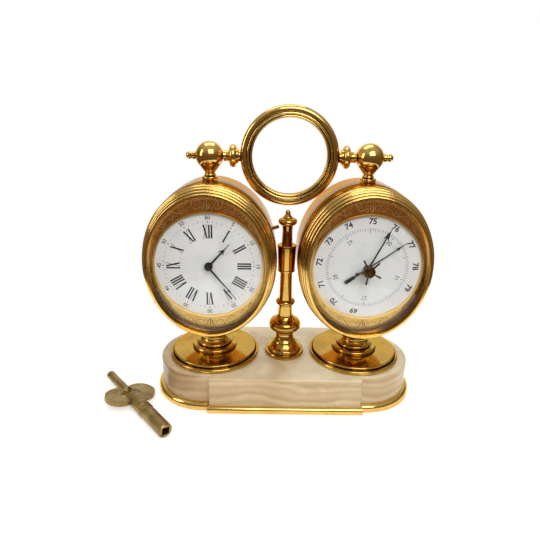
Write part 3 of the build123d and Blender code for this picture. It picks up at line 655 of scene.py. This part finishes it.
for drum, name in ((CLOCK, "clock"), (BAROMETER, "barometer")):
    # The lower scrolls take the darker copy of the engraving, painted shade below the dials
    for sign, level, cut in ((1, "upper", engraved), (-1, "lower", shaded_engraved)):
        work = Drawing(drum, MASK_FRONT + CUT_LIFT)
        crescent(work, sign)
        work.make(f"{name}_{level}_scrolls", cut, "stand")


# Floor, backdrop, lamps and camera, in metres
def floor():
    reach = 0.21
    fade_from = 0.13
    fade_to = 0.20
    glow_level = 0.42
    corners = 64
    turn = 2 * math.pi / corners
    rim = [(reach * math.cos(k * turn), reach * math.sin(k * turn), 0) for k in range(corners)]
    mesh = bpy.data.meshes.new("floor")
    mesh.from_pydata(rim, [], [range(corners)])
    material, tree, shader = new_material("floor")
    colour = ramp(tree, object_noise(tree, 6.0), [(0.3, (0.93, 0.93, 0.93)), (0.7, (0.95, 0.95, 0.95))])
    feed(tree, shader, {"Base Color": colour, "Roughness": 0.9, "Specular IOR Level": 0.05})
    # Away from the object the floor runs into the white of the backdrop
    away = vector(tree, "LENGTH", object_place(tree))
    fade = share(tree, away, fade_from, fade_to, "SMOOTHSTEP")
    light = add(tree, "ShaderNodeLightPath", {}).outputs
    seen = number(tree, "MAXIMUM", light["Is Glossy Ray"], light["Is Transmission Ray"])
    seen = number(tree, "MAXIMUM", light["Is Camera Ray"], seen)
    plain = add(tree, "ShaderNodeEmission", {}).outputs["Emission"]
    faded = mixed_shader(tree, number(tree, "MULTIPLY", fade, seen), shader.outputs["BSDF"], plain)
    # A glow lifts the whole floor in the picture and in reflections, and casts no light
    strength = number(tree, "MULTIPLY", seen, glow_level)
    glow = add(tree, "ShaderNodeEmission", {"Strength": strength}).outputs["Emission"]
    both = add(tree, "ShaderNodeAddShader", {0: faded, 1: glow}).outputs["Shader"]
    feed(tree, tree.nodes["Material Output"], {"Surface": both})
    mesh.materials.append(material)
    piece = bpy.data.objects.new("floor", mesh)
    bpy.context.scene.collection.objects.link(piece)


def surroundings():
    # A white backdrop behind, a dim warm room in front and a pale ceiling; the camera sees plain white
    behind_from = 0.55
    behind_to = 0.85
    deepest_white = 2.5
    sheet_white = (0.72, 0.72, 0.72, 1)
    world = bpy.data.worlds.new("studio")
    bpy.context.scene.world = world
    world.use_nodes = True
    tree = world.node_tree
    tree.nodes.clear()
    direction = add(tree, "ShaderNodeTexCoord", {}).outputs["Generated"]
    room = ramp(tree, share(tree, axis(tree, direction, "Z"), -1.0, 1.0),
                [(0.0, (0.10, 0.08, 0.06)), (0.5, (0.16, 0.115, 0.07)), (0.65, (0.21, 0.165, 0.12)),
                 (0.8, (0.38, 0.35, 0.31)), (1.0, (0.60, 0.58, 0.55))])
    behind = share(tree, axis(tree, direction, "Y"), behind_from, behind_to, "SMOOTHSTEP")
    sheet = mixed(tree, behind, room, sheet_white)
    around_it = add(tree, "ShaderNodeBackground", {"Color": sheet}).outputs["Background"]
    plain = add(tree, "ShaderNodeBackground", {"Color": (1, 1, 1, 1)}).outputs["Background"]
    # White is seen directly, through a pane of glass, and in metal that mirrors what is behind
    light = add(tree, "ShaderNodeLightPath", {}).outputs
    near = number(tree, "LESS_THAN", light["Ray Depth"], deepest_white)
    through = number(tree, "MULTIPLY", light["Is Transmission Ray"], near)
    mirrored = number(tree, "MULTIPLY", light["Is Glossy Ray"], behind)
    direct = number(tree, "MAXIMUM", light["Is Camera Ray"], number(tree, "MAXIMUM", through, mirrored))
    add(tree, "ShaderNodeOutputWorld", {"Surface": mixed_shader(tree, direct, around_it, plain)})


def softbox(name, place, aim, wide, high, power):
    lamp = bpy.data.lights.new(name, "AREA")
    lamp.shape = "RECTANGLE"
    lamp.size = wide
    lamp.size_y = high
    lamp.energy = power
    piece = bpy.data.objects.new(name, lamp)
    bpy.context.scene.collection.objects.link(piece)
    piece.location = place
    piece.rotation_euler = (Vector(aim) - Vector(place)).to_track_quat("-Z", "Y").to_euler()


def camera():
    # Place, turn and lens as fitted to points of the photo
    place = (-0.010726, -0.237372, 0.160402)
    yaw = math.radians(0.273)
    pitch = math.radians(20.206)
    roll = math.radians(0.912)
    view = bpy.data.cameras.new("camera")
    view.sensor_width = 36.0
    view.lens = 30.81
    view.shift_x = 0.002
    view.shift_y = -0.007
    view.clip_start = 0.01
    ahead = Vector((math.sin(yaw) * math.cos(pitch), math.cos(yaw) * math.cos(pitch), -math.sin(pitch)))
    right = Vector((math.cos(yaw), -math.sin(yaw), 0))
    up = right.cross(ahead)
    across = math.cos(roll) * right + math.sin(roll) * up
    rise = -math.sin(roll) * right + math.cos(roll) * up
    turn = Matrix((across, rise, -ahead)).transposed().to_4x4()
    piece = bpy.data.objects.new("camera", view)
    bpy.context.scene.collection.objects.link(piece)
    piece.matrix_world = Matrix.Translation(place) @ turn
    bpy.context.scene.camera = piece


floor()
surroundings()
softbox("key_light", place=(0.15, -0.50, 0.55), aim=(0, 0, 0.08), wide=0.45, high=0.35, power=2.15)
softbox("top_light", place=(-0.05, 0.22, 0.72), aim=(0, 0, 0.08), wide=0.55, high=0.30, power=1.45)
softbox("side_light", place=(-0.60, -0.22, 0.34), aim=(0, 0, 0.07), wide=0.18, high=0.42, power=0.9)
camera()

bpy.context.scene.view_settings.view_transform = "Standard"
